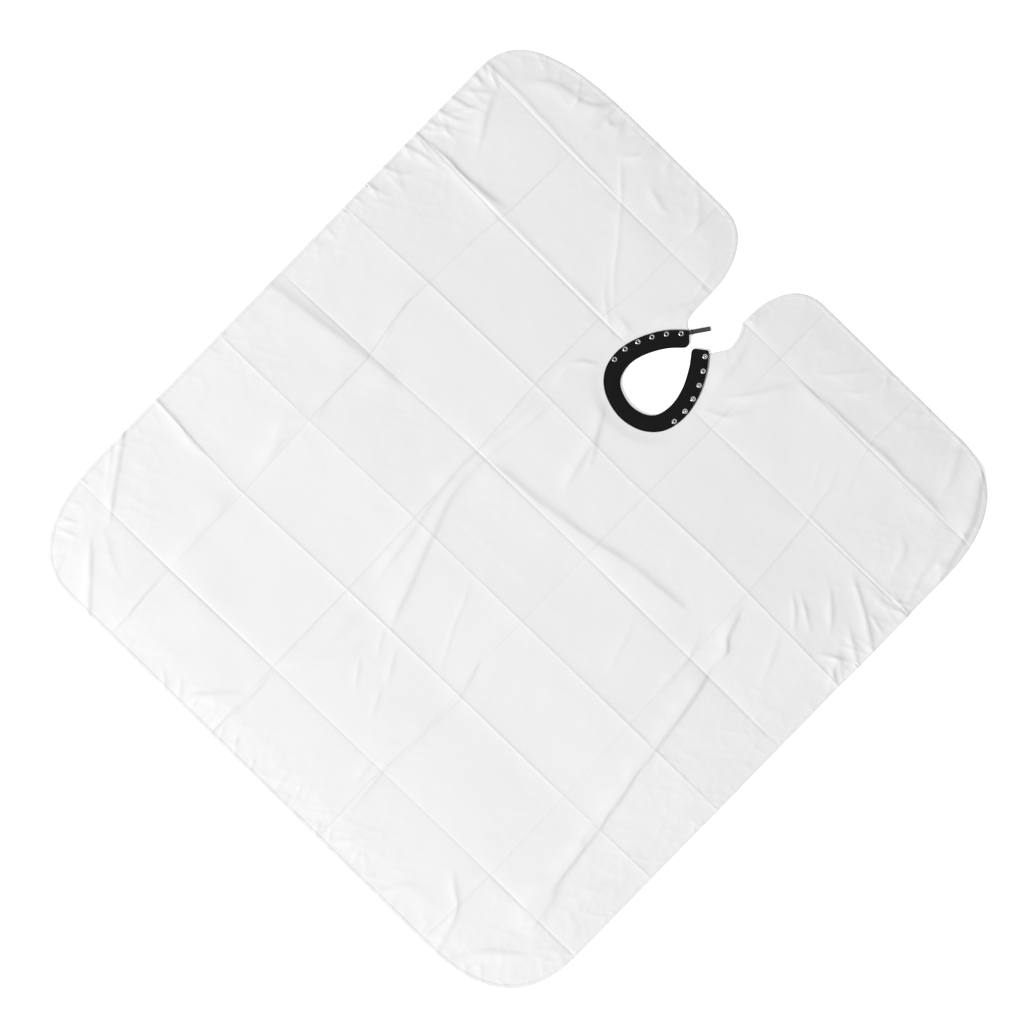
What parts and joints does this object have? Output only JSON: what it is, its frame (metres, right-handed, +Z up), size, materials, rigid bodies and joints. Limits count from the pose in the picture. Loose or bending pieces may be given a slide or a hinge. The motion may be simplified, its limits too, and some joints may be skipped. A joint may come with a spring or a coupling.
{
  "type": "barber cape",
  "caption": "Large white barber's cape laid flat, with rounded corners, a narrow hem, a black padded snap collar round an open neck hole, and a hanging loop.",
  "frame": {"origin": "under the middle of the cape's own box, on the surface it lies on", "axes": "+X across the cape, +Y towards the back edge that is open for the neck, +Z up from the surface"},
  "size_m": [1.4, 1.492, 0.0072],
  "materials": {
    "cape_cloth": "matte",
    "collar_jersey": "matte",
    "collar_foam": "matte",
    "collar_binding": "matte",
    "loop_tape": "matte",
    "snap_metal": "polished",
    "spring_wire": "satin"
  },
  "bodies": {
    "root": {"binding_front_inner": "collar_binding", "binding_front_outer": "collar_binding", "cloth_middle": "cape_cloth", "collar_foam_front": "collar_foam", "collar_top_facing_front": "collar_jersey", "collar_under_facing_front": "collar_jersey", "hem_left_side": "cape_cloth", "hem_right_side": "cape_cloth", "snap_ring_left_5": "snap_metal", "snap_ring_left_6": "snap_metal", "snap_ring_right_5": "snap_metal", "snap_ring_right_6": "snap_metal", "snap_socket_5": "snap_metal", "snap_socket_6": "snap_metal", "snap_spring_5": "spring_wire", "snap_spring_6": "spring_wire", "snap_stud_5": "snap_metal", "snap_stud_6": "snap_metal"},
    "front_half": {"cloth_front_half": "cape_cloth", "hem_front": "cape_cloth"},
    "left_flap": {"binding_left_inner": "collar_binding", "binding_left_outer": "collar_binding", "cloth_left_back_flap": "cape_cloth", "collar_foam_left_arm": "collar_foam", "collar_top_facing_left_arm": "collar_jersey", "collar_under_facing_left_arm": "collar_jersey", "hanging_loop_tail": "loop_tape", "hem_left_back": "cape_cloth", "snap_ring_left_1": "snap_metal", "snap_ring_left_2": "snap_metal", "snap_ring_left_3": "snap_metal", "snap_ring_left_4": "snap_metal", "snap_socket_1": "snap_metal", "snap_socket_2": "snap_metal", "snap_socket_3": "snap_metal", "snap_socket_4": "snap_metal", "snap_spring_1": "spring_wire", "snap_spring_2": "spring_wire", "snap_spring_3": "spring_wire", "snap_spring_4": "spring_wire"},
    "right_flap": {"binding_right_arm": "collar_binding", "cloth_right_back_flap": "cape_cloth", "collar_foam_right_arm": "collar_foam", "collar_top_facing_right_arm": "collar_jersey", "collar_under_facing_right_arm": "collar_jersey", "hem_right_back": "cape_cloth", "snap_ring_right_1": "snap_metal", "snap_ring_right_2": "snap_metal", "snap_ring_right_3": "snap_metal", "snap_ring_right_4": "snap_metal", "snap_stud_1": "snap_metal", "snap_stud_2": "snap_metal", "snap_stud_3": "snap_metal", "snap_stud_4": "snap_metal"},
    "hanging_loop": {"hanging_loop_bar_tack": "collar_binding", "hanging_loop_tape": "loop_tape"}
  },
  "joints": [
    {"name": "front_half_fold", "type": "hinge", "parent": "root", "child": "front_half", "pos_m": [0, 0.035, 0.0105], "axis": [-1, 0, 0], "range_deg": [0, 180]},
    {"name": "left_flap_fold", "type": "hinge", "parent": "root", "child": "left_flap", "pos_m": [0, 0.413, 0.0075], "axis": [1, 0, 0], "range_deg": [0, 180]},
    {"name": "right_flap_fold", "type": "hinge", "parent": "root", "child": "right_flap", "pos_m": [0, 0.413, 0.0075], "axis": [1, 0, 0], "range_deg": [0, 180]},
    {"name": "hanging_loop_swing", "type": "hinge", "parent": "left_flap", "child": "hanging_loop", "pos_m": [-0.01748, 0.51926, 0.0055], "axis": [0.8192, -0.5736, 0], "range_deg": [0, 180]}
  ]
}
